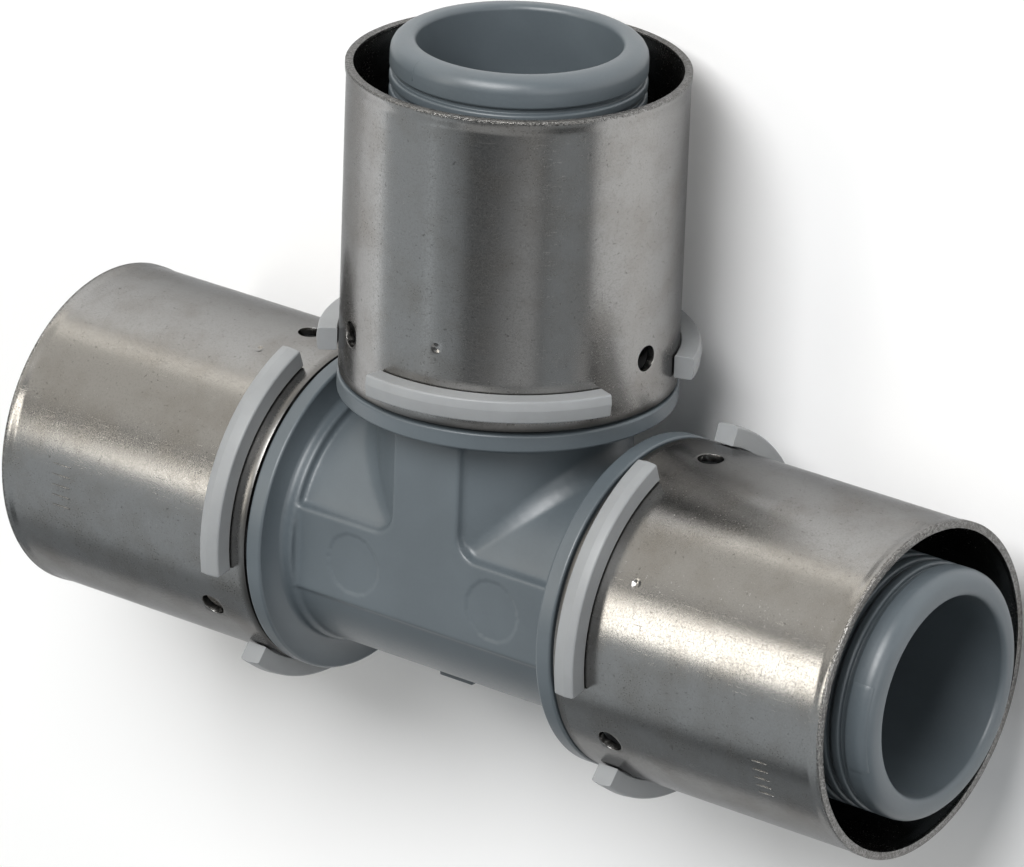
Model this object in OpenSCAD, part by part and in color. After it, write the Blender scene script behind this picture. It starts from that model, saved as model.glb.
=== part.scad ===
// Equal press tee for 40 mm multilayer pipe: a moulded body with three ribbed spigots,
// and on each spigot a steel press sleeve held by a stop ring, and two O-rings.
// The tee lies on its back. X runs along the run, Y along the branch, Z out of the front,
// and the origin is where the axes of the three waterways cross.

/* [Body] */
// Distance from the middle of the tee to the tip of each spigot
reach = 68; // [64:0.5:74]
// Diameter of the waterways
bore_d = 25.4; // [23:0.1:25.4]
// Outer diameter of the run on the side away from the branch
run_d = 33.4; // [32.4:0.1:33.6]
// Outer diameter of the branch, and of the run on the branch's side
branch_d = 32; // [31.6:0.1:32.1]
// Distance from the middle of the tee to the inner face of each flange
flange_at = 21.8; // [21.4:0.1:23]
// Diameter of the flanges
flange_d = 42.6; // [42:0.1:44]
// Thickness of the flanges
flange_t = 2.3; // [1.8:0.1:3]
// Diameter of the collar at the foot of each flange
collar_d = 34.4; // [34:0.1:36]
// Height of the collar over the tube
collar_t = 1.7; // [1:0.1:2.2]
// Radius of the hollow blend between run and branch, at its widest
crotch_r = 3.4; // [2:0.1:3.5]

/* [Flat panel] */
// Distance from the middle plane to the flat T-shaped panel
panel_at = 16.1; // [15.9:0.05:16.2]
// Width of the part of the panel that runs along the run
bar_w = 10.8; // [8:0.1:12]
// Width of the part of the panel that runs up the branch
leg_w = 10.2; // [8:0.1:12]
// Radius of the two inner corners of the panel
panel_r = 3; // [1:0.1:4]
// Diameter of the two round ejector marks
mark_d = 8; // [4:0.1:9]

/* [Spigot] */
// Outer diameter over the ribs, a little under the inside of the pipe
spigot_d = 31.8; // [31.4:0.1:31.9]
// Length of the rounded bead at the tip
bead_len = 3.8; // [3:0.1:5]
// Width of one rib
rib_w = 1.3; // [0.9:0.05:1.6]
// Width of the notch between two ribs
notch_w = 0.65; // [0.4:0.05:0.8]
// Depth of the notches
notch_depth = 0.6; // [0.3:0.05:0.8]
// Thickness of the rubber of an O-ring, which is drawn level with the ribs
seal_t = 2; // [1.6:0.1:2]

/* [Press sleeve] */
// Outer diameter of the steel sleeve
sleeve_d = 42.4; // [42.2:0.1:43]
// Wall of the sleeve
sleeve_wall = 1; // [0.8:0.05:1.05]
// Length of the sleeve
sleeve_len = 40.1; // [36:0.1:42]
// Diameter of the three sight holes
sight_d = 3.3; // [2.5:0.1:3.6]
// Distance of the sight holes from the flange
sight_at = 7.5; // [7.2:0.1:9]

/* [Stop ring] */
// Diameter over the three lugs outside the sleeve
lug_d = 47.9; // [46:0.1:50]
// Width of a lug along the sleeve
lug_w = 2.9; // [2.5:0.1:3.2]
// Angle that one lug spans
lug_angle = 79; // [70:1:90]

/* [Hidden] */
$fn = 96;

grey_blue = [0.42, 0.47, 0.51];
steel = [0.72, 0.71, 0.69];
off_white = [0.80, 0.80, 0.79];
black = [0.06, 0.06, 0.06];

bore_r = bore_d / 2;
run_r = run_d / 2;
branch_r = branch_d / 2;
flange_r = flange_d / 2;
flange_face = flange_at + flange_t;
collar_r = collar_d / 2;
collar_at = flange_at - collar_t;
foot_fillet = 1.2;
flange_edge = 0.35;
collar_edge = 0.3;
mark_depth = 0.1;

// Rectangular gate mark under the run
gate_x = -3.95;
gate_len = 5.5;
gate_w = 6.6;
gate_at = 17.1;

// Blend between run and branch: it dies out below the panel
crotch_top = 15.3;
crotch_end = 15.4;
crotch_sunk = 0.15;
crotch_least = 0.4;
crotch_steps = 12;
crotch_arc = 6;

spigot_r = spigot_d / 2;
notch_r = spigot_r - notch_depth;
rib_edge = 0.3;
rib_pitch = rib_w + notch_w;
bead_at = reach - bead_len;
bead_edge = 1.9;
mouth_edge = 0.9;

// Seat of the stop ring, and the ridge that holds it on the spigot and stops the pipe
seat_r = 16.6;
ridge_at = 29.2;
ridge_w = 1;
ridge_r = 17.5;

// The grooves of the O-rings, by their middles, and the ribs on both sides of each
seal_w = seal_t + 0.6;
seal_root = spigot_r - seal_t;
ribs_by_tip = 4;
ribs_between = 5;
ribs_by_ridge = 3;
outer_seal_at = bead_at - ribs_by_tip * rib_pitch - seal_w / 2;
inner_seal_at = outer_seal_at - seal_w - ribs_between * rib_pitch + notch_w;
plain_end = inner_seal_at - seal_w / 2 - ribs_by_ridge * rib_pitch;

sleeve_r = sleeve_d / 2;
sleeve_in = sleeve_r - sleeve_wall;
sleeve_at = flange_face + 0.4;
sleeve_end = sleeve_at + sleeve_len;
sleeve_turn = 0.8;
lip_len = 1.3;
lip_flare = 0.22;
lip_edge = 0.15;
dimple_r = 0.7;
dimple_depth = 0.35;
dimple_at = 10.2;

lug_at = flange_face + 2.5;
lug_gap = 0.15;
lug_draft = 0.2;
lug_parting = 1.2;
slot_at = lug_at + 0.4;
slot_w = lug_w - 0.8;
slot_angle = lug_angle - 11;
ring_in = 17.1;
ring_out = sleeve_in - 0.05;
ring_at = flange_face + 0.7;
foot_angle = 12;
foot_count = 6;

// Where the dimple of each sleeve lies, from the front
left_dimple = 71;
right_dimple = -31;
branch_dimple = 12;

// Each port is drawn along +Z with its front towards +X, and then put in its place
module on_left() { rotate([0, -90, 0]) children(); }
module on_right() { rotate([0, 90, 0]) rotate([0, 0, 180]) children(); }
module on_branch() { rotate([-90, 0, 0]) rotate([0, 0, -90]) children(); }

// Half section of a disc or rib with rounded outer edges
module land(r, low, high, edge) {
    translate([0, low]) square([r - edge, high - low]);
    translate([0, low + edge]) square([r, high - low - 2 * edge]);
    translate([r - edge, low + edge]) circle(edge);
    translate([r - edge, high - edge]) circle(edge);
}

// Row of ribs from a height downwards
module ribs(top, count) {
    for (k = [0 : count - 1])
        land(spigot_r, top - k * rib_pitch - rib_w, top - k * rib_pitch, rib_edge);
}

// Half section of collar, flange and spigot
module port_section() {
    land(collar_r, collar_at, flange_at + 1, collar_edge);
    translate([collar_r, flange_at - foot_fillet]) difference() {
        square(foot_fillet);
        translate([foot_fillet, 0]) circle(foot_fillet);
    }
    land(flange_r, flange_at, flange_face, flange_edge);
    translate([0, flange_at]) square([seat_r, ridge_at - flange_at + 0.2]);
    land(ridge_r, ridge_at, ridge_at + ridge_w, 0.3);
    translate([0, ridge_at]) square([spigot_r, plain_end - ridge_at]);
    translate([0, plain_end - 1]) square([seal_root, bead_at - plain_end + 2]);
    translate([0, plain_end - 0.5]) square([notch_r, inner_seal_at - seal_w / 2 - plain_end]);
    translate([0, inner_seal_at + seal_w / 2 + 0.5])
        square([notch_r, outer_seal_at - inner_seal_at - seal_w - 1]);
    translate([0, outer_seal_at + seal_w / 2 + 0.5])
        square([notch_r, bead_at - outer_seal_at - seal_w / 2]);
    ribs(inner_seal_at - seal_w / 2, ribs_by_ridge);
    ribs(outer_seal_at - seal_w / 2, ribs_between);
    ribs(bead_at - notch_w, ribs_by_tip);
    bead_section();
}

module bead_section() {
    translate([0, bead_at]) square([spigot_r - bead_edge, bead_len]);
    translate([0, bead_at + rib_edge]) square([spigot_r, bead_len - bead_edge - rib_edge]);
    translate([spigot_r - bead_edge, reach - bead_edge]) circle(bead_edge);
    translate([0, bead_at]) square([spigot_r - rib_edge, 1]);
    translate([spigot_r - rib_edge, bead_at + rib_edge]) circle(rib_edge);
}

// Waterway with rounded mouths, from one height to the tip of the spigot
module waterway(low) {
    rotate_extrude() {
        translate([0, low]) square([bore_r, reach - low + 1]);
        translate([bore_r - 0.5, reach - mouth_edge]) difference() {
            square([mouth_edge + 0.5, mouth_edge + 1]);
            translate([mouth_edge + 0.5, 0]) circle(mouth_edge);
            translate([mouth_edge + 0.5, -mouth_edge]) square(2 * mouth_edge);
        }
    }
}

// Section of the run between its flanges, cut flat for the panels
module run_outline() {
    intersection() {
        union() {
            circle(branch_r);
            intersection() {
                circle(run_r);
                translate([-run_r, -run_r]) square([run_r, 2 * run_r]);
            }
        }
        square([2 * run_r, 2 * panel_at], center = true);
    }
}

// Outline of the flat panel, the same on the front and on the back
module panel_outline() {
    translate([-flange_at, -bar_w / 2]) square([2 * flange_at, bar_w]);
    translate([-leg_w / 2, 0]) square([leg_w, flange_at + 0.5]);
    for (side = [0, 1]) mirror([side, 0]) translate([leg_w / 2, bar_w / 2]) difference() {
        square(panel_r);
        translate([panel_r, panel_r]) circle(panel_r);
    }
}

// One level of the blend in the crotch: a corner piece with a hollow arc. At each level
// the tubes are two straight strips, and their half width follows from their radius.
function crotch_z(j) = crotch_top * sin(90 * j / crotch_steps);
function crotch_level(z) =
    let (x = sqrt(branch_r * branch_r - z * z) - crotch_sunk,
         r = crotch_least + crotch_r * sqrt(1 - pow(z / crotch_end, 2)))
    concat([[x - 1, x - 1, z], [x + r, x - 1, z]],
        [for (k = [0 : crotch_arc]) let (a = 90 * k / crotch_arc)
            [x + r - r * sin(a), x + r - r * cos(a), z]],
        [[x - 1, x + r, z]]);

module crotch() {
    size = crotch_arc + 4;
    levels = 2 * crotch_steps;
    points = [for (j = [-crotch_steps : crotch_steps]) each crotch_level(crotch_z(j))];
    sides = [for (j = [0 : levels - 1], k = [0 : size - 1])
        let (a = j * size + k, b = j * size + (k + 1) % size)
        each [[a, a + size, b], [b, a + size, b + size]]];
    polyhedron(points, concat(sides,
        [[for (k = [0 : size - 1]) k]],
        [[for (k = [size - 1 : -1 : 0]) levels * size + k]]));
}

module body() {
    color(grey_blue) difference() {
        union() {
            rotate([90, 0, 90]) linear_extrude(2 * flange_at, center = true) run_outline();
            rotate([-90, 0, 0]) cylinder(h = flange_at, r = branch_r);
            translate([0, 0, -panel_at]) linear_extrude(2 * panel_at) panel_outline();
            on_left() rotate_extrude() port_section();
            on_right() rotate_extrude() port_section();
            on_branch() rotate_extrude() port_section();
            crotch();
            mirror([1, 0, 0]) crotch();
            translate([gate_x, -gate_at + 2, 0]) cube([gate_len, 4, gate_w], center = true);
        }
        on_left() waterway(-1);
        on_right() waterway(-1);
        on_branch() waterway(0);
        for (side = [-1, 1]) translate([11 * side, 0, panel_at - mark_depth]) cylinder(h = 1, d = mark_d);
    }
}

// Half section of the sleeve: turned in at the flange, with a small flared lip at the mouth
module sleeve_section() {
    lip_at = sleeve_end - lip_len;
    intersection() {
        union() {
            translate([sleeve_r - sleeve_turn, sleeve_at + sleeve_turn]) circle(sleeve_turn);
            translate([sleeve_in, sleeve_at + sleeve_turn]) square([sleeve_wall, 2]);
            translate([sleeve_in, sleeve_at]) square([sleeve_wall - sleeve_turn, 2]);
        }
        translate([sleeve_in, sleeve_at]) square([2, 5]);
    }
    translate([sleeve_in, sleeve_at + 2]) square([sleeve_wall, lip_at - sleeve_at - 2]);
    polygon([[sleeve_in, lip_at], [sleeve_r, lip_at],
        [sleeve_r + lip_flare, sleeve_end - 0.6], [sleeve_r + lip_flare, sleeve_end - lip_edge],
        [sleeve_r + lip_flare - lip_edge, sleeve_end],
        [sleeve_in + lip_flare + lip_edge, sleeve_end],
        [sleeve_in + lip_flare, sleeve_end - lip_edge]]);
}

// The turn tells where the lugs and sight holes lie round the axis
module sleeve(turn, dimple) {
    color(steel) difference() {
        union() {
            rotate_extrude() sleeve_section();
            rotate([0, 0, dimple]) translate([sleeve_in + dimple_depth, 0, flange_face + dimple_at])
                sphere(dimple_r, $fn = 32);
        }
        for (k = [0 : 2]) rotate([0, 0, turn - 30 + 120 * k]) {
            translate([sleeve_in - 1, 0, flange_face + sight_at]) rotate([0, 90, 0])
                cylinder(h = sleeve_wall + 2, d = sight_d, $fn = 32);
            rotate([0, 0, 60 - slot_angle / 2]) rotate_extrude(angle = slot_angle)
                translate([sleeve_in - 1, slot_at]) square([sleeve_wall + 2, slot_w]);
        }
        rotate([0, 0, dimple]) translate([sleeve_r + dimple_depth, 0, flange_face + dimple_at])
            sphere(dimple_r, $fn = 32);
    }
}

// Part of a flat ring, on both sides of the +X axis
module sector(inner, outer, angle) {
    far = 2 * outer;
    intersection() {
        difference() {
            circle(outer);
            circle(inner);
        }
        polygon([[0, 0], [far * cos(angle / 2), -far * sin(angle / 2)], [far, 0],
            [far * cos(angle / 2), far * sin(angle / 2)]]);
    }
}

module inner_ring_outline() {
    difference() {
        circle(ring_out);
        circle(ring_in);
    }
}

module lug() {
    lug_in = sleeve_r + lug_gap;
    rotate([0, 0, -lug_angle / 2]) rotate_extrude(angle = lug_angle)
        polygon([[lug_in, lug_at], [lug_d / 2 - lug_draft, lug_at],
            [lug_d / 2, lug_at + lug_w - lug_parting],
            [lug_d / 2 - lug_draft, lug_at + lug_w], [lug_in, lug_at + lug_w]]);
}

// Ring inside the sleeve, standing on small feet, with three lugs through the slots
module stop_ring(turn) {
    color(off_white) rotate([0, 0, turn]) {
        translate([0, 0, ring_at]) linear_extrude(slot_at - ring_at) inner_ring_outline();
        translate([0, 0, slot_at]) linear_extrude(slot_w) {
            inner_ring_outline();
            for (k = [0 : 2]) rotate(30 + 120 * k) sector(ring_out - 0.5, sleeve_r + 0.5, slot_angle);
        }
        for (k = [0 : foot_count - 1]) rotate([0, 0, 360 / foot_count * k])
            translate([0, 0, flange_face]) linear_extrude(1)
                sector(ring_in + 0.2, ring_out - 0.3, foot_angle);
        for (k = [0 : 2]) rotate([0, 0, 30 + 120 * k]) lug();
    }
}

module seal(height) {
    color(black) rotate_extrude() translate([seal_root + seal_t / 2, height])
        circle(seal_t / 2, $fn = 32);
}

body();
on_left() sleeve(0, left_dimple);  // run_left_sleeve
on_right() sleeve(60, right_dimple);  // run_right_sleeve
on_branch() sleeve(0, branch_dimple);  // branch_sleeve
on_left() stop_ring(0);  // run_left_stop_ring
on_right() stop_ring(60);  // run_right_stop_ring
on_branch() stop_ring(0);  // branch_stop_ring
on_left() seal(inner_seal_at);  // run_left_inner_seal
on_left() seal(outer_seal_at);  // run_left_outer_seal
on_right() seal(inner_seal_at);  // run_right_inner_seal
on_right() seal(outer_seal_at);  // run_right_outer_seal
on_branch() seal(inner_seal_at);  // branch_inner_seal
on_branch() seal(outer_seal_at);  // branch_outer_seal
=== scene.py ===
"""Dresses a packed press tee and sets up a small studio round it."""

from math import cos, pi, radians, sin, sqrt, tan
from types import SimpleNamespace

import bmesh
import bpy
from mathutils import Matrix, Vector


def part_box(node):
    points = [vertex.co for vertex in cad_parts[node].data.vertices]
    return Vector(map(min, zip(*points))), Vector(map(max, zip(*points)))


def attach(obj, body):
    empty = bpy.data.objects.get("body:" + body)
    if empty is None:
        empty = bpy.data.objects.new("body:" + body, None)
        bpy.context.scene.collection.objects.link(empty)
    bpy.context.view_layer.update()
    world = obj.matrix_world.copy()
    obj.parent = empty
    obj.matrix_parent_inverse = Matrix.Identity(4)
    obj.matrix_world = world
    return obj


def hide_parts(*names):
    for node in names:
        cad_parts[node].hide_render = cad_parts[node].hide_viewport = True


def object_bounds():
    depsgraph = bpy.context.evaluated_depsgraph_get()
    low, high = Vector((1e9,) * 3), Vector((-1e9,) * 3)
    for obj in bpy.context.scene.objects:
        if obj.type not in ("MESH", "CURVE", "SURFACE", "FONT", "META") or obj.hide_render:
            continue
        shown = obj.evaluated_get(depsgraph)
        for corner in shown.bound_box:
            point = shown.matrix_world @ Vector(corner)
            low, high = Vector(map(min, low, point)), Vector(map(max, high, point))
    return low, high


bl_info = {
    "name": "Press Tee",
    "version": (1, 0, 0),
    "blender": (4, 5, 0),
    "location": "3D View > Sidebar > Press Tee",
    "description": "Builds the looks of a press tee for multilayer pipe round its CAD frame",
    "category": "Object",
}

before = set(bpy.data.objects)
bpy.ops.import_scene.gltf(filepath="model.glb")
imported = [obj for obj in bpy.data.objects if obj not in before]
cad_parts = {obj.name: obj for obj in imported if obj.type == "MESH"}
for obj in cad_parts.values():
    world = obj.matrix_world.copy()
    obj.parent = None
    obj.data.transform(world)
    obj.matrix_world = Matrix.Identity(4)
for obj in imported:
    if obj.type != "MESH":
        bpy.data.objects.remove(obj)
CAD_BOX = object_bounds()
MM = 0.001
FULL_TURN = 2 * pi

BODY_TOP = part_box("body")[1]
SLEEVE_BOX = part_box("run_right_sleeve")
RING_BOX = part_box("run_right_stop_ring")
FOOT, MOUTH = SLEEVE_BOX[0].x / MM, SLEEVE_BOX[1].x / MM

ALONG_X = Matrix.Rotation(pi / 2, 4, "Y")
ALONG_Y = Matrix.Rotation(-pi / 2, 4, "X")
# Each port is modelled along +Z with its front towards +X. The last value is the way round in which
# an angle grows from the front: towards the branch on the run, towards +X on the branch.
PORTS = {
    "run_left": (Matrix.Rotation(-pi / 2, 4, "Y"), 1),
    "run_right": (ALONG_X @ Matrix.Rotation(pi, 4, "Z"), -1),
    "branch": (ALONG_Y @ Matrix.Rotation(-pi / 2, 4, "Z"), 1),
}
# Places round each sleeve, in degrees from the front
DIMPLES = {"run_left": 71, "run_right": 31, "branch": 12}
SIGHT_HOLES = (-30, 90, 210)
LUG_MIDDLES = (30, 150, 270)
# Lengths from here to the property groups are in millimetres.
# First and last angle, number, and the two ends of the strokes on a sleeve
STROKES = {"run_left": (7.6, -7.6, 5, 53.3, 56.2), "run_right": (-15, -29, 5, 54.3, 56.6)}
# Marks of the mould on a bead: middle and width in degrees, near end, far end and height
BEAD_MARKS = {"run_right": (1, 42, 64.4, 67.4, 0.04), "branch": (-17, 0.5, 65.2, 67.7, 0.04)}
# Radius and depth of the steps of a dimple, from its edge to its middle
DIMPLE_STEPS = ((0.72, 0), (0.62, 0.02), (0.48, 0.07), (0.33, 0.13), (0.18, 0.17), (0.06, 0.18))
# Rounding of a bead at the tip of its spigot
BEAD_EDGE = 1.9
# Where the crossing of the waterways ends and the spigots carry them on
LINER_END = 14
# How far the middle of the body is modelled past the face of a flange
OVERRUN = 0.5
# Size and middle of the gate pad under the run
GATE_SIZE, GATE_PLACE = (5.5, 4, 6.8), (-3.95, -15.7, 0)
# Ejector marks: distance from the middle and depth
MARK_PLACE, MARK_DEPTH = 11, 0.13
# Grid of the fused body, and how often it is smoothed
FUSE_GRID, FUSE_ROUNDS = 0.28, 3
# Rounding of the steel's edges
STEEL_EDGE = 0.18
# Steps of a full turn
AROUND = 192


def length(name, description, default):
    return bpy.props.FloatProperty(
        name=name, description=description, default=default, min=0, precision=5, unit="LENGTH"
    )


def colour(name, description, default):
    return bpy.props.FloatVectorProperty(
        name=name, description=description, default=default, size=3, min=0, max=1, subtype="COLOR"
    )


class BodySizes(bpy.types.PropertyGroup):
    reach: length("Reach", "From the middle of the tee to the tip of a spigot", BODY_TOP.x)
    bore: length("Bore radius", "Radius of the waterways", 12.7 * MM)
    tube: length("Tube radius", "Radius of the branch and of the run beside it", 16 * MM)
    belly: length("Belly radius", "Radius of the run away from the branch", 16.7 * MM)
    flange: length("Flange radius", "Radius of the flanges", BODY_TOP.z)
    flange_at: length("Flange distance", "From the middle to the inner face of a flange", 21.8 * MM)
    flange_t: length("Flange thickness", "Thickness of a flange", 2.3 * MM)
    collar: length("Collar radius", "Radius of the collar at the foot of a flange", 17.2 * MM)
    collar_t: length("Collar height", "Height of the collar over the tube", 1.7 * MM)
    blend: length("Blend radius", "Radius of the hollow between run and branch", 3.6 * MM)
    panel_at: length("Panel distance", "From the middle plane to the flat panel", 16.1 * MM)
    bar: length("Bar half width", "Half the width of the panel along the run", 5.4 * MM)
    leg: length("Leg half width", "Half the width of the panel up the branch", 5.1 * MM)
    panel_corner: length("Panel corner", "Radius of the panel's inner corners", 3 * MM)
    draft: length("Panel draft", "How much wider the panel is at its foot", 0.45 * MM)
    mark: length("Ejector mark radius", "Radius of the round ejector marks", 4 * MM)
    spigot: length("Spigot radius", "Radius over the ribs", 15.9 * MM)
    bead: length("Bead length", "Length of the bead at the tip of a spigot", 3.8 * MM)
    rib: length("Rib width", "Width of one rib", 1.3 * MM)
    notch: length("Notch width", "Width of the notch between two ribs", 0.65 * MM)


class SleeveSizes(bpy.types.PropertyGroup):
    radius: length("Radius", "Outer radius of the steel sleeve", 21.2 * MM)
    wall: length("Wall", "Thickness of the steel", 1 * MM)
    near: length("Near end", "From the middle of the tee to the end by the flange", SLEEVE_BOX[0].x)
    far: length("Mouth", "From the middle of the tee to the mouth", SLEEVE_BOX[1].x)
    flare: length("Flare", "How far the lip stands out", 0.14 * MM)
    sight: length("Sight hole radius", "Radius of the three sight holes", 1.65 * MM)
    sight_at: length("Sight hole distance", "From the middle of the tee to a hole", 31.6 * MM)
    dimple_at: length("Dimple distance", "From the middle of the tee to the dimple", 34.3 * MM)


class RingSizes(bpy.types.PropertyGroup):
    inner: length("Inner radius", "Inside of the hidden ring", 17.1 * MM)
    outer: length("Outer radius", "Outside of the hidden ring", 20.15 * MM)
    lug_outer: length("Lug radius", "Over the lugs", RING_BOX[1].z)
    lug_inner: length("Lug foot radius", "Inner face of the lugs", 21.35 * MM)
    lug_at: length("Lug distance", "From the middle of the tee to a lug", 26.6 * MM)
    lug_w: length("Lug width", "Width of a lug along the sleeve", 2.9 * MM)
    lug_angle: bpy.props.FloatProperty(
        name="Lug angle", description="Angle that one lug spans", default=radians(79),
        subtype="ANGLE",
    )


class FinishColours(bpy.types.PropertyGroup):
    body: colour("Body", "Moulded blue-grey plastic", (0.088, 0.107, 0.12))
    steel: colour("Steel", "Tumbled stainless steel", (0.335, 0.33, 0.322))
    # The dull steel also darkens the sleeve's end by the flange.
    steel_dull: colour("Dull steel", "Stains and handling marks on the steel", (0.26, 0.247, 0.23))
    ring: colour("Stop ring", "Off-white plastic", (0.275, 0.284, 0.29))
    rubber: colour("Rubber", "Black rubber of the seals", (0.012, 0.012, 0.012))
    floor: colour("Floor", "Plain pale floor", (0.93, 0.93, 0.93))


class StudioView(bpy.types.PropertyGroup):
    azimuth: bpy.props.FloatProperty(
        name="Azimuth", description="Camera's turn round the standing tee",
        default=radians(37.18), subtype="ANGLE",
    )
    elevation: bpy.props.FloatProperty(
        name="Elevation", description="Camera's height over the standing tee",
        default=radians(21.71), subtype="ANGLE",
    )
    roll: bpy.props.FloatProperty(
        name="Roll", description="Camera's roll", default=radians(2.09), subtype="ANGLE"
    )
    distance: length(
        "Distance", "From the camera to the plane through the tee's middle", 999.2 * MM
    )
    aside: length("Aside", "How far the camera is moved to its right", 1.31 * MM)
    above: length("Above", "How far the camera is moved upwards", 14.78 * MM)
    lens: bpy.props.FloatProperty(
        name="Focal length", description="Focal length in millimetres", default=279.98, min=1
    )


def in_mm(group):
    """A property group's values, with lengths in millimetres and angles as they are."""
    values = {}
    for name in group.__annotations__:
        value = getattr(group, name)
        is_length = group.bl_rna.properties[name].unit == "LENGTH"
        values[name] = value / MM if is_length else value
    return SimpleNamespace(**values)


# Outlines and solids


def rounded(corners, steps=6):
    """A closed outline from corners given as (x, y, radius), with round corners."""
    points = []
    for k, (x, y, radius) in enumerate(corners):
        corner = Vector((x, y))
        if radius == 0:
            points.append(corner)
            continue
        back = (Vector(corners[k - 1][:2]) - corner).normalized()
        on = (Vector(corners[(k + 1) % len(corners)][:2]) - corner).normalized()
        half = back.angle(on) / 2
        centre = corner + (back + on).normalized() * radius / sin(half)
        start = corner + back * radius / tan(half) - centre
        end = corner + on * radius / tan(half) - centre
        turn = -start.angle_signed(end)
        for j in range(steps + 1):
            points.append(centre + Matrix.Rotation(turn * j / steps, 2) @ start)
    return points


def outline_edges(bm, points):
    """Closed line through points given as (radius, height)."""
    verts = [bm.verts.new((p[0], 0, p[1])) for p in points]
    edges = [bm.edges.new((verts[k - 1], verts[k])) for k in range(len(verts))]
    return verts + edges


def ring_of(points, steps=AROUND):
    """Solid of revolution round Z from a closed outline."""
    bm = bmesh.new()
    bmesh.ops.spin(
        bm, geom=outline_edges(bm, points), cent=(0, 0, 0), axis=(0, 0, 1), dvec=(0, 0, 0),
        angle=FULL_TURN, steps=steps, use_merge=True,
    )
    bmesh.ops.remove_doubles(bm, verts=bm.verts, dist=1e-5)
    bmesh.ops.recalc_face_normals(bm, faces=bm.faces)
    return bm


def part_ring_of(points, middle, angle, steps, edge):
    """Part of a solid of revolution round Z, with flat ends whose edges are broken."""
    bm = bmesh.new()
    verts = [bm.verts.new((p[0], 0, p[1])) for p in points]
    face = bm.faces.new(verts)
    bmesh.ops.rotate(
        bm, verts=verts, cent=(0, 0, 0), matrix=Matrix.Rotation(middle - angle / 2, 3, "Z")
    )
    geom = [face] + list(face.edges) + verts
    spun = bmesh.ops.spin(
        bm, geom=geom, cent=(0, 0, 0), axis=(0, 0, 1), dvec=(0, 0, 0), angle=angle, steps=steps,
        use_merge=False,
    )
    bmesh.ops.remove_doubles(bm, verts=bm.verts, dist=1e-5)
    far = {g for g in spun["geom_last"] if isinstance(g, bmesh.types.BMEdge)}
    ends = [e for e in bm.edges if e in far or len(e.link_faces) == 2 and face in e.link_faces]
    bmesh.ops.recalc_face_normals(bm, faces=bm.faces)
    bmesh.ops.bevel(
        bm, geom=[e for e in ends if e.is_valid], offset=edge, offset_type="OFFSET", segments=3,
        profile=0.5, affect="EDGES", material=-1, clamp_overlap=True,
    )
    return bm


def prism_of(points, low, high):
    """Straight solid along Z over a closed outline in X and Y."""
    bm = bmesh.new()
    face = bm.faces.new([bm.verts.new((p[0], p[1], low)) for p in points])
    top = bmesh.ops.extrude_face_region(bm, geom=[face])
    moved = [g for g in top["geom"] if isinstance(g, bmesh.types.BMVert)]
    bmesh.ops.translate(bm, verts=moved, vec=(0, 0, high - low))
    bmesh.ops.recalc_face_normals(bm, faces=bm.faces)
    return bm


def rod(radius, low, high, turn, closed=True):
    """Closed cylinder or open tube from low to high along Z, then turned."""
    bm = bmesh.new()
    bmesh.ops.create_cone(
        bm, cap_ends=closed, segments=AROUND, radius1=radius, radius2=radius, depth=high - low,
        matrix=turn @ Matrix.Translation((0, 0, (low + high) / 2)),
    )
    return bm


def block(size, place):
    bm = bmesh.new()
    stretch = Matrix.Diagonal((*size, 1))
    bmesh.ops.create_cube(bm, size=1, matrix=Matrix.Translation(place) @ stretch)
    return bm


def everything(bm):
    return list(bm.verts) + list(bm.edges) + list(bm.faces)


def cut(bm, point, normal, close=True):
    """Cuts away what lies beyond a plane, and closes the cut."""
    done = bmesh.ops.bisect_plane(
        bm, geom=everything(bm), plane_co=point, plane_no=normal, dist=1e-6, clear_outer=True
    )
    if close:
        rim = [g for g in done["geom_cut"] if isinstance(g, bmesh.types.BMEdge)]
        bmesh.ops.holes_fill(bm, edges=rim)
    return bm


def join(parts):
    """One mesh of several, which are used up."""
    whole = bmesh.new()
    for part in parts:
        mesh = bpy.data.meshes.new("part")
        part.to_mesh(mesh)
        part.free()
        whole.from_mesh(mesh)
        bpy.data.meshes.remove(mesh)
    return whole


def placed(bm, matrix):
    bmesh.ops.transform(bm, matrix=matrix, verts=bm.verts)
    return bm


def piece(name, bm, nodes, material, wall=0):
    """Turns a mesh in millimetres into a finished piece that stands for CAD nodes.

    A sheet gets its wall inwards, with broken edges."""
    bmesh.ops.scale(bm, vec=(MM, MM, MM), verts=bm.verts)
    mesh = bpy.data.meshes.new(name)
    bm.to_mesh(mesh)
    bm.free()
    mesh.shade_smooth()
    made = bpy.data.objects.new(name, mesh)
    bpy.context.scene.collection.objects.link(made)
    mesh.materials.append(material)
    if wall:
        solid = made.modifiers.new("Wall", "SOLIDIFY")
        solid.thickness = wall * MM
        solid.offset = -1
        rim = made.modifiers.new("Broken edges", "BEVEL")
        rim.width = STEEL_EDGE * MM
        rim.segments = 3
        rim.limit_method = "ANGLE"
        rim.angle_limit = radians(60)
    weighted = made.modifiers.new("Flat faces stay flat", "WEIGHTED_NORMAL")
    weighted.mode = "FACE_AREA"
    weighted.weight = 100
    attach(made, "root")
    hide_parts(*nodes)
    return made


# Body


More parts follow.
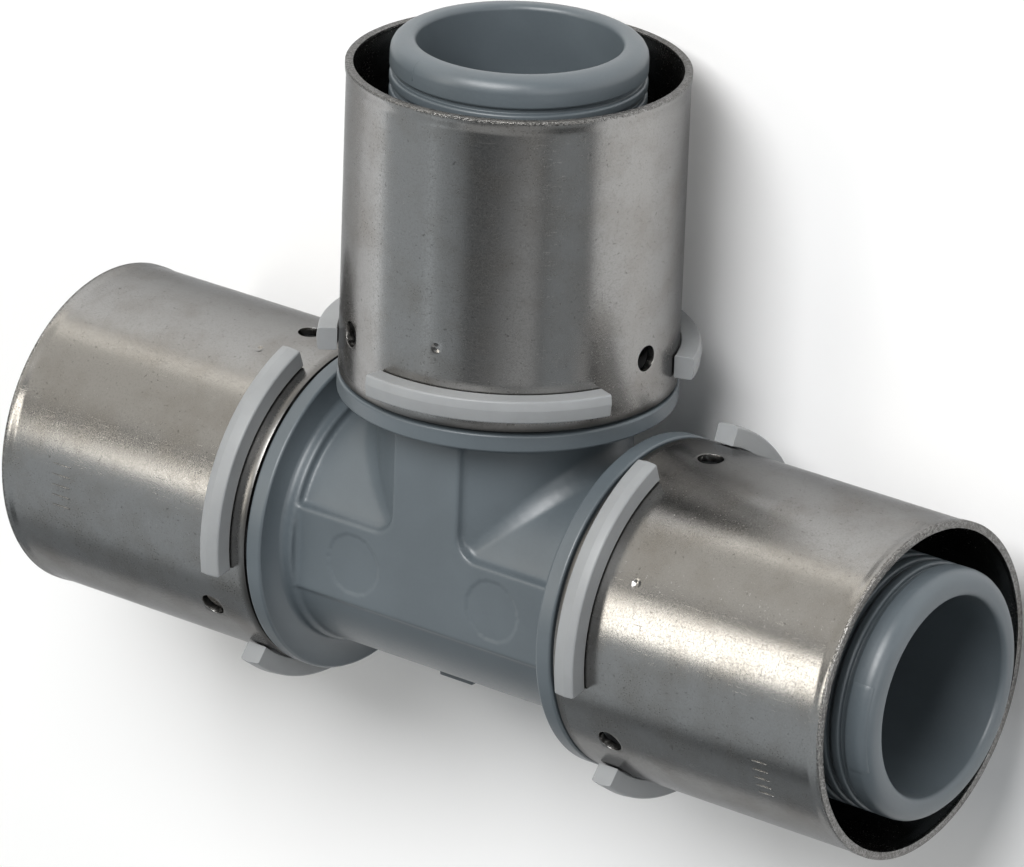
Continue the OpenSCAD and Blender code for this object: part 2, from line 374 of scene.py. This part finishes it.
def spigot_outline(s):
    """Half section of flange and spigot, from the bore round to the bore."""
    notch_r, groove_r, groove_w = s.spigot - 0.6, s.spigot - 2, 2.6
    ridge_r, ridge_low, ridge_high = 17.5, 29.2, 30.2
    neck_r, back_r = 16.6, 14.5
    # Corner radii
    in_notch, on_rib, in_groove, on_ridge, on_flange = 0.12, 0.33, 0.2, 0.3, 0.35
    at_flange = s.flange_at + s.flange_t
    bead_at = s.reach - s.bead
    top = bead_at - s.notch
    corners = [
        (s.bore, LINER_END, 0), (s.bore, s.reach, 0.75), (s.spigot, s.reach, BEAD_EDGE),
        (s.spigot, bead_at, 0.4), (notch_r, bead_at, in_notch), (notch_r, top, in_notch),
    ]
    for count, grooved in ((4, True), (5, True), (3, False)):
        for k in range(count):
            if k:
                corners += [(notch_r, top + s.notch, in_notch), (notch_r, top, in_notch)]
            corners += [(s.spigot, top, on_rib), (s.spigot, top - s.rib, on_rib)]
            top -= s.rib + s.notch
        top += s.notch
        if grooved:
            corners += [(groove_r, top, in_groove), (groove_r, top - groove_w, in_groove)]
            top -= groove_w
    plain = top - s.notch
    return corners + [
        (notch_r, top, in_notch), (notch_r, plain, in_notch), (s.spigot, plain, on_rib),
        (s.spigot, ridge_high, 0.2), (ridge_r, ridge_high, on_ridge),
        (ridge_r, ridge_low, on_ridge), (neck_r, ridge_low, 0.1), (neck_r, at_flange, 0.3),
        (s.flange, at_flange, on_flange), (s.flange, s.flange_at, on_flange),
        (back_r, s.flange_at, 0), (back_r, LINER_END, 0),
    ]


def bead_patch(s, middle, angle, low, high, rise):
    """Part of the bead's round skin, raised a little like the mark of a mould's insert."""
    levels, sunk = 8, 0.4
    skin = []
    for k in range(levels + 1):
        z = low + (high - low) * k / levels
        past = max(0, z - (s.reach - BEAD_EDGE))
        skin.append((s.spigot - BEAD_EDGE + sqrt(BEAD_EDGE * BEAD_EDGE - past * past), z))
    section = [(r + rise, z) for r, z in skin] + [(r - sunk, z) for r, z in reversed(skin)]
    steps = max(2, round(angle / 2))
    return part_ring_of(section, radians(middle), radians(angle), steps, rise / 2)


def collar_outline(s):
    """Half section of the collar and its hollow foot, sunk into the flange."""
    inside_r, foot, foot_r = 10, 0.6, s.collar + 2.2
    low, foot_at, sunk = s.flange_at - s.collar_t, s.flange_at + 0.06, s.flange_at + 0.7
    corners = [
        (inside_r, low, 0), (s.collar, low, 0.3), (s.collar, foot_at, foot),
        (foot_r, foot_at, 0), (foot_r, sunk, 0), (inside_r, sunk, 0),
    ]
    return rounded(corners, 8)


def panel_outline(s, grow):
    """Outline of the T-shaped panel, from its lower left corner round."""
    leg, bar, far = s.leg + grow, s.bar + grow, s.flange_at + OVERRUN
    corner = s.panel_corner - grow
    right = [(far, -bar, 0), (far, bar, 0), (leg, bar, corner), (leg, far, 0)]
    left = [(-x, y, r) for x, y, r in reversed(right)]
    return rounded(right + left, 8)


def crotch(s):
    """Hollow blend in the corner between run and branch, widest in the middle plane."""
    # Half its height, the height at which it would have its least radius, and that radius
    top, fade, least = 15.6, 15.7, 0.5
    sunk, thick = 0.2, 2
    bm = bmesh.new()
    bmesh.ops.create_grid(bm, x_segments=10, y_segments=40, size=1)

    def shape(v, behind):
        """Grid X runs round the arc, grid Y from the back to the front."""
        turn = (v.co.x + 1) * pi / 4
        z = top * sin(v.co.y * pi / 2)
        wall = sqrt(s.tube * s.tube - z * z) - sunk
        if behind:
            return Vector((wall - thick, wall - thick, z))
        r = least + s.blend * sqrt(1 - (z / fade) ** 2)
        return Vector((wall + r - r * sin(turn), wall + r - r * cos(turn), z))

    skin = list(bm.verts)
    back = bmesh.ops.extrude_face_region(bm, geom=list(bm.faces), use_keep_orig=True)
    deep = [g for g in back["geom"] if isinstance(g, bmesh.types.BMVert)]
    for v in deep:
        v.co = shape(v, True)
    for v in skin:
        v.co = shape(v, False)
    bmesh.ops.recalc_face_normals(bm, faces=bm.faces)
    return bm


def moulded_middle(s):
    """Closed solids that overlap and together are the middle of the body, without its waterways."""
    end = s.flange_at + OVERRUN
    belly = rod(s.belly, -end, end, ALONG_X)
    cut(belly, (0, 0, 0), (0, 1, 0))
    cut(belly, (0, 0, s.panel_at), (0, 0, 1))
    cut(belly, (0, 0, -s.panel_at), (0, 0, -1))
    tubes = [rod(s.tube, -end, end, ALONG_X), rod(s.tube, 0, end, ALONG_Y), belly]
    panel_h, sunk = 1.5, -1
    foot_at = s.panel_at - panel_h
    panels = []
    for side in (1, -1):
        slab = prism_of(panel_outline(s, s.draft), sunk, foot_at)
        top = max(slab.faces, key=lambda f: f.calc_center_median().z)
        bmesh.ops.inset_region(
            slab, faces=[top], thickness=s.draft, depth=s.panel_at - foot_at, use_even_offset=True
        )
        placed(slab, Matrix.Diagonal((1, 1, side, 1)))
        bmesh.ops.recalc_face_normals(slab, faces=slab.faces)
        panels.append(slab)
    collars = [placed(ring_of(collar_outline(s)), matrix) for matrix, _ in PORTS.values()]
    blends = [crotch(s), placed(crotch(s), Matrix.Diagonal((-1, 1, 1, 1)))]
    bmesh.ops.recalc_face_normals(blends[1], faces=blends[1].faces)
    return join(tubes + panels + collars + blends + [block(GATE_SIZE, GATE_PLACE)])


def fused(bm):
    """Fuses overlapping solids into one skin and softens its edges a little."""
    mesh = bpy.data.meshes.new("fused")
    bm.to_mesh(mesh)
    bm.free()
    work = bpy.data.objects.new("fused", mesh)
    bpy.context.scene.collection.objects.link(work)
    remesh = work.modifiers.new("Remesh", "REMESH")
    remesh.mode = "VOXEL"
    remesh.voxel_size = FUSE_GRID
    smooth = work.modifiers.new("Smooth", "SMOOTH")
    smooth.factor = 0.5
    smooth.iterations = FUSE_ROUNDS
    evaluated = work.evaluated_get(bpy.context.evaluated_depsgraph_get())
    skin = bmesh.new()
    skin.from_mesh(evaluated.to_mesh())
    evaluated.to_mesh_clear()
    bpy.data.objects.remove(work)
    bpy.data.meshes.remove(mesh)
    return skin


def body_middle(s):
    """The visible middle of the body, open where it runs into the three flanges."""
    skin = fused(moulded_middle(s))
    end = s.flange_at + OVERRUN / 2
    for normal in ((1, 0, 0), (-1, 0, 0), (0, 1, 0)):
        cut(skin, Vector(normal) * end, normal, close=False)
    for v in skin.verts:
        aside = abs(v.co.x) - MARK_PLACE
        if abs(v.co.z - s.panel_at) < 0.05 and aside ** 2 + v.co.y ** 2 < s.mark ** 2:
            v.co.z -= MARK_DEPTH
    return skin


def waterways(s):
    """The crossing of the bores, as a thin liner that the three spigots carry on."""
    run = rod(s.bore, -LINER_END, LINER_END, ALONG_X, closed=False)
    branch = rod(s.bore, 0, LINER_END, ALONG_Y, closed=False)
    for bm, inside in ((run, False), (branch, True)):
        for side in (1, -1):
            bmesh.ops.bisect_plane(
                bm, geom=everything(bm), plane_co=(0, 0, 0), plane_no=(side, -1, 0), dist=1e-6
            )
        lost = []
        for face in bm.faces:
            middle = face.calc_center_median()
            if (middle.y > abs(middle.x)) != inside:
                lost.append(face)
        bmesh.ops.delete(bm, geom=lost, context="FACES")
    liner = join([run, branch])
    bmesh.ops.remove_doubles(liner, verts=liner.verts, dist=1e-3)
    bmesh.ops.recalc_face_normals(liner, faces=liner.faces)
    seen = max(liner.faces, key=lambda f: -f.calc_center_median().y)
    if seen.normal.dot(seen.calc_center_median()) > 0:
        bmesh.ops.reverse_faces(liner, faces=liner.faces)
    return liner


# Press sleeves


def sleeve_radius(s, z):
    """Outer radius of the sleeve at a distance from the tee's middle."""
    turned_in, turned_end, lip_at, lip_rise = 0.1, 0.6, s.far - 1.5, 0.7
    turn = max(0, 1 - (z - s.near) / turned_end)
    lip = min(1, max(0, (z - lip_at) / lip_rise))
    return s.radius - turned_in * turn ** 2 + s.flare * lip * lip * (3 - 2 * lip)


def drawn_in(bm, edges, centre, radius, depth=0):
    """Grows a loop of edges inwards to a circle round a centre, and returns the new loop."""
    grown = bmesh.ops.extrude_edge_only(bm, edges=edges)["geom"]
    for v in grown:
        if isinstance(v, bmesh.types.BMVert):
            out = Vector((v.co.x - centre[0], v.co.y - centre[1])).normalized() * radius
            v.co = (centre[0] + out.x, centre[1] + out.y, -depth)
    return [g for g in grown if isinstance(g, bmesh.types.BMEdge) and is_rim(g)]


def is_rim(edge):
    return len(edge.link_faces) == 1


def sleeve(s, way, dimple):
    """A flat steel blank that is pierced and rolled up. Its wall comes with the piece."""
    columns, rows = 288, 85
    hole_cells, dimple_cells = 8, 4
    # Cells from the middle of a slot to its end, and the rows that it lies between
    slot_half, slot_low, slot_high = 27, 5, 9.9
    pitch = (s.far - s.near) / rows
    cell = s.radius * FULL_TURN / columns
    bm = bmesh.new()
    bmesh.ops.create_grid(
        bm, x_segments=columns, y_segments=rows, size=0.5,
        matrix=Matrix.Translation((0, (s.near + s.far) / 2, 0))
        @ Matrix.Diagonal((cell * columns, s.far - s.near, 1, 1)),
    )
    half_width = s.radius * pi

    def across(degrees):
        """Place on the blank of an angle from the front, on a grid line."""
        turned = (way * degrees + 180) % 360 - 180
        return round(s.radius * radians(turned) / cell) * cell

    def up(z):
        return s.near + round((z - s.near) / pitch) * pitch

    def open_block(centre, cells):
        """Takes out a square of cells and returns the edge that is left."""
        inside = []
        for f in bm.faces:
            c = f.calc_center_median()
            aside, along = abs(c.x - centre[0]) / cell, abs(c.y - centre[1]) / pitch
            if max(aside, along) < cells / 2:
                inside.append(f)
        rim = {e for f in inside for e in f.edges if any(g not in inside for g in e.link_faces)}
        bmesh.ops.delete(bm, geom=inside, context="FACES")
        return list(rim)

    for angle in SIGHT_HOLES:
        centre = (across(angle), up(s.sight_at))
        drawn_in(bm, open_block(centre, hole_cells), centre, s.sight)
    centre = (across(dimple), up(s.dimple_at))
    edge = open_block(centre, dimple_cells)
    for radius, depth in DIMPLE_STEPS:
        edge = drawn_in(bm, edge, centre, radius, depth)
    bmesh.ops.holes_fill(bm, edges=edge)

    slots = []
    for middle in LUG_MIDDLES:
        for f in bm.faces:
            c = f.calc_center_median()
            away = (c.x - across(middle) + half_width) % (2 * half_width) - half_width
            if abs(away) < slot_half * cell and slot_low < (c.y - s.near) / pitch < slot_high:
                slots.append(f)
    bmesh.ops.delete(bm, geom=slots, context="FACES")

    for v in bm.verts:
        turn = v.co.x / s.radius
        radius = sleeve_radius(s, v.co.y) + v.co.z
        v.co = (radius * cos(turn), radius * sin(turn), v.co.y)
    bmesh.ops.remove_doubles(bm, verts=bm.verts, dist=0.01)
    bmesh.ops.recalc_face_normals(bm, faces=bm.faces)
    probe = max(bm.faces, key=lambda f: f.calc_center_median().x)
    if probe.normal.x < 0:
        bmesh.ops.reverse_faces(bm, faces=bm.faces)
    return bm


def strokes(s, way, first, last, count, low, high):
    """A row of fine raised strokes along the sleeve, from one angle to another."""
    width, edge = 0.17, 0.04
    bars = []
    for k in range(count):
        turn = radians(way * (first + (last - first) * k / (count - 1)))
        bar = block((width, width, high - low), (s.radius, 0, (low + high) / 2))
        bmesh.ops.bevel(
            bar, geom=list(bar.edges), offset=edge, offset_type="OFFSET", segments=2, profile=0.5,
            affect="EDGES", material=-1, clamp_overlap=True,
        )
        bars.append(placed(bar, Matrix.Rotation(turn, 4, "Z")))
    return join(bars)


# Stop rings


def section(inner, outer, low, high, radius=0):
    """Rectangular half section between two radii and two heights."""
    corners = ((inner, low), (outer, low), (outer, high), (inner, high))
    return rounded([(*corner, radius) for corner in corners], 3)


def stop_ring(s, b, way):
    """The hidden ring, its arms through the sleeve and the three lugs outside it."""
    at_flange = b.flange_at + b.flange_t
    lug_end = s.lug_at + s.lug_w
    under_ring, foot_h, feet, foot_angle = 0.7, 1, 6, radians(12)
    # How much thinner an arm is than its lug on each side, and where the lug's parting line is
    inset, part_line = 0.4, lug_end - 1.2
    # How far the lug's outer face falls away from that line to its near and its far end
    near_draft, far_draft = 0.2, 0.15
    arm_low, arm_high = s.lug_at + inset, lug_end - inset
    arm_angle, hidden_edge, lug_edge = s.lug_angle - radians(11), 0.02, 0.22
    ring = section(s.inner, s.outer, at_flange + under_ring, arm_high, 0.1)
    arm = section(s.outer - 0.5, s.lug_inner + 0.2, arm_low, arm_high)
    foot = section(s.inner + 0.2, s.outer - 0.3, at_flange, at_flange + foot_h)
    lug = rounded([
        (s.lug_inner, s.lug_at, 0.15), (s.lug_outer - near_draft, s.lug_at, 0.3),
        (s.lug_outer, part_line, 0.05), (s.lug_outer - far_draft, lug_end, 0.3),
        (s.lug_inner, lug_end, 0.15),
    ], 4)
    parts = [ring_of(ring, 144)]
    for middle in LUG_MIDDLES:
        turn = radians(way * middle)
        parts.append(part_ring_of(arm, turn, arm_angle, 34, hidden_edge))
        parts.append(part_ring_of(lug, turn, s.lug_angle, 110, lug_edge))
    for k in range(feet):
        parts.append(part_ring_of(foot, FULL_TURN * k / feet, foot_angle, 6, hidden_edge))
    return join(parts)


# Materials


class Finish:
    """A material that is put together node by node.

    Its patterns read the object's own place, in millimetres."""

    def __init__(self, name):
        self.material = bpy.data.materials.new(name)
        self.material.use_nodes = True
        self.tree = self.material.node_tree
        self.shader = self.tree.nodes["Principled BSDF"]
        place = self.add("ShaderNodeTexCoord")
        self.mm = self.add("ShaderNodeMapping", {"Vector": place.outputs["Object"]})
        self.mm.inputs["Scale"].default_value = (1 / MM,) * 3

    def add(self, kind, inputs=None, **settings):
        node = self.tree.nodes.new(kind)
        for name, value in settings.items():
            setattr(node, name, value)
        for name, value in (inputs or {}).items():
            self.set(node.inputs[name], value)
        return node

    def set(self, socket, value):
        if isinstance(value, bpy.types.NodeSocket):
            self.tree.links.new(value, socket)
        else:
            socket.default_value = value

    def noise(self, scale, detail, stretch=None, rough=0.5):
        """Noise with so many cells to a millimetre, from 0 to 1."""
        where = self.mm.outputs["Vector"]
        if stretch:
            stretched = self.add("ShaderNodeMapping", {"Vector": where, "Scale": stretch})
            where = stretched.outputs["Vector"]
        made = self.add(
            "ShaderNodeTexNoise",
            {"Vector": where, "Scale": scale, "Detail": detail, "Roughness": rough},
        )
        return made.outputs["Fac"]

    def ramp(self, value, low, high, to_low=0.0, to_high=1.0):
        """Maps a value from low and high to two others, and keeps it between them."""
        ends = {"From Min": low, "From Max": high, "To Min": to_low, "To Max": to_high}
        return self.add("ShaderNodeMapRange", {"Value": value, **ends}).outputs["Result"]

    def math(self, operation, a, b=0.0):
        made = self.add("ShaderNodeMath", {0: a, 1: b}, operation=operation)
        return made.outputs["Value"]

    def blend(self, share, first, second):
        """Mixes two colours, which are sockets 6 and 7 of the node and socket 2 of its outputs."""
        made = self.add("ShaderNodeMix", data_type="RGBA")
        self.set(made.inputs[0], share)
        self.set(made.inputs[6], first)
        self.set(made.inputs[7], second)
        return made.outputs[2]

    def bump(self, height, distance, strength, normal=None):
        """Relief from a height, with its distance in millimetres."""
        inputs = {"Height": height, "Distance": distance * MM, "Strength": strength}
        if normal:
            inputs["Normal"] = normal
        return self.add("ShaderNodeBump", inputs).outputs["Normal"]

    def finish(self, **inputs):
        for name, value in inputs.items():
            self.set(self.shader.inputs[name.replace("_", " ")], value)
        return self.material


def opaque(rgb, factor=1.0):
    return tuple(min(1, c * factor) for c in rgb) + (1,)


def body_plastic(m, c):
    """Semi-gloss blue-grey moulding with faint flow marks and a fine grain."""
    clouds = m.noise(0.09, 4)
    grain = m.noise(2.6, 2)
    fine = m.noise(7, 2)
    tone = m.blend(m.ramp(clouds, 0.35, 0.65), opaque(c.body, 0.93), opaque(c.body, 1.07))
    tone = m.blend(m.ramp(grain, 0.3, 0.7, 0, 0.12), tone, opaque(c.body, 1.35))
    rough = m.math("ADD", m.ramp(clouds, 0.3, 0.7, 0.37, 0.42), m.ramp(grain, 0.3, 0.7, 0, 0.05))
    waves = m.bump(m.noise(0.35, 2), 0.05, 0.35)
    relief = m.bump(grain, 0.012, 0.5, waves)
    relief = m.bump(fine, 0.006, 0.4, relief)
    m.set(m.shader.inputs["IOR"], 1.65)
    return m.finish(Base_Color=tone, Roughness=rough, Normal=relief)


def sleeve_steel(m, c):
    """Tumbled steel: a blurred mirror with fine speckle, stains, scratches and a burr, and darker
    and rougher at its end by the flange.
    """
    stains = m.noise(0.16, 5, rough=0.6)
    speckle = m.noise(3.6, 3, rough=0.6)
    specks = m.noise(1.9, 2)
    scratch = m.noise(1.0, 2, stretch=(0.35, 9, 0.35))
    across = m.noise(1.0, 2, stretch=(9, 0.35, 2))
    axes = m.add("ShaderNodeSeparateXYZ", {"Vector": m.mm.outputs["Vector"]})
    along = m.math("MAXIMUM", m.math("ABSOLUTE", axes.outputs["X"]), axes.outputs["Y"])
    mouth = m.ramp(along, MOUTH - 0.45, MOUTH - 0.25)
    # The steel is made darker and rougher over the last 1.3 mm at its end by the flange, beside the
    # gap to the flange.
    foot = m.ramp(along, FOOT + 1.3, FOOT + 0.4)
    tone = m.blend(m.ramp(stains, 0.45, 0.75, 0, 0.8), opaque(c.steel), opaque(c.steel_dull))
    tone = m.blend(m.ramp(speckle, 0.52, 0.75, 0, 0.4), tone, opaque(c.steel_dull, 0.7))
    tone = m.blend(m.ramp(specks, 0.68, 0.74, 0, 0.55), tone, opaque(c.steel_dull, 0.4))
    burr = m.math("MULTIPLY", mouth, m.ramp(speckle, 0.4, 0.6))
    tone = m.blend(m.math("MULTIPLY", burr, 0.6), tone, opaque(c.steel_dull, 0.3))
    tone = m.blend(m.math("MULTIPLY", foot, 0.55), tone, opaque(c.steel_dull, 0.35))
    rough = m.ramp(stains, 0.3, 0.7, 0.2, 0.24)
    rough = m.math("ADD", rough, m.ramp(speckle, 0.3, 0.7, -0.03, 0.06))
    rough = m.math("ADD", rough, m.math("MULTIPLY", foot, 0.12))
    relief = m.bump(speckle, 0.009, 0.5)
    scratches = m.math("ADD", m.ramp(scratch, 0.66, 0.8), m.ramp(across, 0.68, 0.8))
    relief = m.bump(scratches, 0.012, 0.4, relief)
    relief = m.bump(m.noise(0.1, 1), 0.08, 0.12, relief)
    relief = m.bump(burr, 0.06, 0.7, relief)
    m.set(m.shader.inputs["Specular Tint"], (0.45, 0.455, 0.465, 1))
    return m.finish(Base_Color=tone, Metallic=1.0, Roughness=rough, Normal=relief)


def ring_plastic(m, c):
    """Satin off-white plastic that light enters a little."""
    clouds = m.noise(0.25, 3)
    grain = m.noise(5, 2)
    tone = m.blend(m.ramp(clouds, 0.35, 0.65), opaque(c.ring, 0.96), opaque(c.ring, 1.03))
    rough = m.ramp(grain, 0.3, 0.7, 0.4, 0.5)
    relief = m.bump(grain, 0.01, 0.4)
    m.set(m.shader.inputs["Subsurface Weight"], 0.12)
    m.set(m.shader.inputs["Subsurface Radius"], (0.001, 0.0009, 0.0007))
    return m.finish(Base_Color=tone, Roughness=rough, Normal=relief)


def seal_rubber(m, c):
    grain = m.noise(3, 3)
    tone = m.blend(m.ramp(grain, 0.3, 0.7), opaque(c.rubber), opaque(c.rubber, 2))
    rough = m.ramp(grain, 0.3, 0.7, 0.45, 0.6)
    return m.finish(Base_Color=tone, Roughness=rough, Normal=m.bump(grain, 0.01, 0.3))


def floor_paint(m, c):
    soft = m.noise(0.02, 2)
    tone = m.blend(m.ramp(soft, 0.3, 0.7), opaque(c.floor, 0.995), opaque(c.floor, 1.0))
    return m.finish(Base_Color=tone, Roughness=0.9, Normal=m.bump(m.noise(0.8, 2), 0.02, 0.1))


def shared(name, make):
    """Material of that name, made on first use."""
    known = bpy.data.materials.get(name)
    return known or make(Finish(name), bpy.context.scene.press_tee_colours)


# Operators


class PRESSTEE_OT_body(bpy.types.Operator):
    """Model the moulded body: its middle, the waterways and the three spigots"""

    bl_idname = "press_tee.body"
    bl_label = "Moulded Body"

    def execute(self, context):
        s = in_mm(context.scene.press_tee_body)
        plastic = shared("moulded blue-grey plastic", body_plastic)
        piece("body_middle", body_middle(s), ["body"], plastic)
        piece("body_waterways", waterways(s), ["body"], plastic)
        outline = rounded(spigot_outline(s), 5)
        for port, (matrix, way) in PORTS.items():
            parts = [ring_of(outline)]
            if port in BEAD_MARKS:
                middle, *sizes = BEAD_MARKS[port]
                parts.append(bead_patch(s, way * middle, *sizes))
            piece(f"{port}_spigot", placed(join(parts), matrix), ["body"], plastic)
        return {"FINISHED"}


class PRESSTEE_OT_sleeves(bpy.types.Operator):
    """Roll the three steel press sleeves"""

    bl_idname = "press_tee.sleeves"
    bl_label = "Press Sleeves"

    def execute(self, context):
        s = in_mm(context.scene.press_tee_sleeve)
        steel = shared("tumbled stainless steel", sleeve_steel)
        for port, (matrix, way) in PORTS.items():
            node = f"{port}_sleeve"
            shell = placed(sleeve(s, way, DIMPLES[port]), matrix)
            piece(f"{node}_steel", shell, [node], steel, wall=s.wall)
            if port in STROKES:
                marks = placed(strokes(s, way, *STROKES[port]), matrix)
                piece(f"{node}_strokes", marks, [node], steel)
        return {"FINISHED"}


class PRESSTEE_OT_stop_rings(bpy.types.Operator):
    """Model the three plastic stop rings with their lugs"""

    bl_idname = "press_tee.stop_rings"
    bl_label = "Stop Rings"

    def execute(self, context):
        s = in_mm(context.scene.press_tee_ring)
        b = in_mm(context.scene.press_tee_body)
        plastic = shared("satin off-white plastic", ring_plastic)
        for port, (matrix, way) in PORTS.items():
            node = f"{port}_stop_ring"
            made = placed(stop_ring(s, b, way), matrix)
            piece(f"{node}_moulding", made, [node], plastic)
        return {"FINISHED"}


class PRESSTEE_OT_seals(bpy.types.Operator):
    """Give the O-rings of the frame their rubber"""

    bl_idname = "press_tee.seals"
    bl_label = "Seals"

    def execute(self, context):
        rubber = shared("black seal rubber", seal_rubber)
        for name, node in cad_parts.items():
            if name.endswith("_seal"):
                node.data.materials.clear()
                node.data.materials.append(rubber)
        return {"FINISHED"}


WHITE = (1, 1, 1)
WARM = (1, 0.95, 0.86)
COOL = (0.9, 0.96, 1)
# Name, azimuth and elevation in degrees, distance, size, brightness, tint and roll
LAMPS = (
    ("top", 80, 48, 1.2, (0.7, 0.55), 12.4, WHITE, 0),
    ("key", 157, 58.5, 1.1, (0.48, 0.19), 5.6, WARM, 0),
    ("upper left", 134, 27, 1.1, (1.0, 0.75), 0.78, WARM, 0),
    ("back", 124, 5.5, 1.2, (1.0, 0.2), 1.5, WARM, 0),
    ("left", -159, 14, 1.0, (0.45, 0.5), 1.15, WHITE, 0),
    ("front left", -150, 45, 1.2, (0.9, 0.95), 0.52, COOL, 0),
    ("front", -112, 67, 1.2, (0.5, 0.4), 0.4, COOL, 0),
    ("front right", -51.6, 48.3, 1.1, (1.1, 0.45), 0.46, WHITE, -30.6),
    ("front low", -127, 12, 1.2, (0.7, 0.5), 0.26, COOL, 0),
    ("right", -15, 16, 1.1, (0.5, 0.5), 0.3, COOL, 0),
    ("upper right", 14, 26, 1.1, (0.6, 0.5), 2.4, WHITE, 0),
)
SKY_COLOUR, SKY_STRENGTH = (0.88, 0.95, 1, 1), 0.09
# From the middle of the floor to its edges, in metres
FLOOR_REACH = 2.5
LAY_DOWN = Matrix.Rotation(-pi / 2, 3, "X")


def standing(azimuth, elevation):
    """Unit vector in the frame of the lying tee, for a direction seen round the standing tee."""
    side = cos(elevation)
    return LAY_DOWN @ Vector((sin(azimuth) * side, -cos(azimuth) * side, sin(elevation)))


def add_camera(view):
    back = standing(view.azimuth, view.elevation)
    right = LAY_DOWN @ Vector((cos(view.azimuth), sin(view.azimuth), 0))
    up = back.cross(right)
    rolled_right = right * cos(view.roll) + up * sin(view.roll)
    rolled_up = up * cos(view.roll) - right * sin(view.roll)
    data = bpy.data.cameras.new("camera")
    data.sensor_fit = "HORIZONTAL"
    data.sensor_width = 36
    data.lens = view.lens
    data.clip_start = 0.01
    data.clip_end = 20
    camera = bpy.data.objects.new("camera", data)
    turned = Matrix((rolled_right, rolled_up, back)).transposed().to_4x4()
    place = back * view.distance + rolled_right * view.aside + rolled_up * view.above
    camera.matrix_world = Matrix.Translation(place) @ turned
    bpy.context.scene.collection.objects.link(camera)
    bpy.context.scene.camera = camera


def add_lamp(name, azimuth, elevation, distance, size, radiance, tint, roll):
    """Soft rectangular lamp that faces the tee. Azimuth and elevation are seen from the floor."""
    side = cos(radians(elevation))
    towards = Vector((
        cos(radians(azimuth)) * side, sin(radians(azimuth)) * side, sin(radians(elevation))
    ))
    data = bpy.data.lights.new(name, "AREA")
    data.shape = "RECTANGLE"
    data.size, data.size_y = size
    data.energy = radiance * pi * size[0] * size[1]
    data.color = tint
    lamp = bpy.data.objects.new(name, data)
    turned = towards.to_track_quat("Z", "Y").to_matrix().to_4x4()
    turned = turned @ Matrix.Rotation(radians(roll), 4, "Z")
    lamp.matrix_world = Matrix.Translation(towards * distance) @ turned
    bpy.context.scene.collection.objects.link(lamp)


class PRESSTEE_OT_stage(bpy.types.Operator):
    """Set up the floor, the lights and the camera"""

    bl_idname = "press_tee.stage"
    bl_label = "Studio Stage"

    def execute(self, context):
        bm = bmesh.new()
        bmesh.ops.create_grid(bm, x_segments=8, y_segments=8, size=FLOOR_REACH)
        bmesh.ops.translate(bm, verts=bm.verts, vec=(0, 0, CAD_BOX[0].z))
        mesh = bpy.data.meshes.new("floor")
        bm.to_mesh(mesh)
        bm.free()
        floor = bpy.data.objects.new("floor", mesh)
        context.scene.collection.objects.link(floor)
        mesh.materials.append(shared("pale floor", floor_paint))
        add_camera(context.scene.press_tee_view)
        for lamp in LAMPS:
            add_lamp(*lamp)
        world = bpy.data.worlds.new("studio")
        context.scene.world = world
        world.use_nodes = True
        sky = world.node_tree.nodes["Background"]
        sky.inputs["Color"].default_value = SKY_COLOUR
        sky.inputs["Strength"].default_value = SKY_STRENGTH
        context.scene.view_settings.view_transform = "Standard"
        return {"FINISHED"}


class PRESSTEE_PT_panel(bpy.types.Panel):
    """Press tee tools"""

    bl_idname = "PRESSTEE_PT_panel"
    bl_label = "Press Tee"
    bl_space_type = "VIEW_3D"
    bl_region_type = "UI"
    bl_category = "Press Tee"

    def draw(self, context):
        layout = self.layout
        for operator in OPERATORS:
            layout.operator(operator.bl_idname)
        for name, group in GROUPS.items():
            box = layout.box()
            for prop in group.__annotations__:
                box.prop(getattr(context.scene, name), prop)


GROUPS = {
    "press_tee_body": BodySizes,
    "press_tee_sleeve": SleeveSizes,
    "press_tee_ring": RingSizes,
    "press_tee_colours": FinishColours,
    "press_tee_view": StudioView,
}
OPERATORS = (
    PRESSTEE_OT_body,
    PRESSTEE_OT_sleeves,
    PRESSTEE_OT_stop_rings,
    PRESSTEE_OT_seals,
    PRESSTEE_OT_stage,
)


def register():
    for group in GROUPS.values():
        bpy.utils.register_class(group)
    for name, group in GROUPS.items():
        setattr(bpy.types.Scene, name, bpy.props.PointerProperty(type=group))
    for operator in OPERATORS:
        bpy.utils.register_class(operator)
    bpy.utils.register_class(PRESSTEE_PT_panel)


def unregister():
    bpy.utils.unregister_class(PRESSTEE_PT_panel)
    for operator in reversed(OPERATORS):
        bpy.utils.unregister_class(operator)
    for name, group in reversed(GROUPS.items()):
        delattr(bpy.types.Scene, name)
        bpy.utils.unregister_class(group)


def main():
    register()
    bpy.ops.press_tee.body()
    bpy.ops.press_tee.sleeves()
    bpy.ops.press_tee.stop_rings()
    bpy.ops.press_tee.seals()
    bpy.ops.press_tee.stage()


if __name__ == "__main__":
    main()
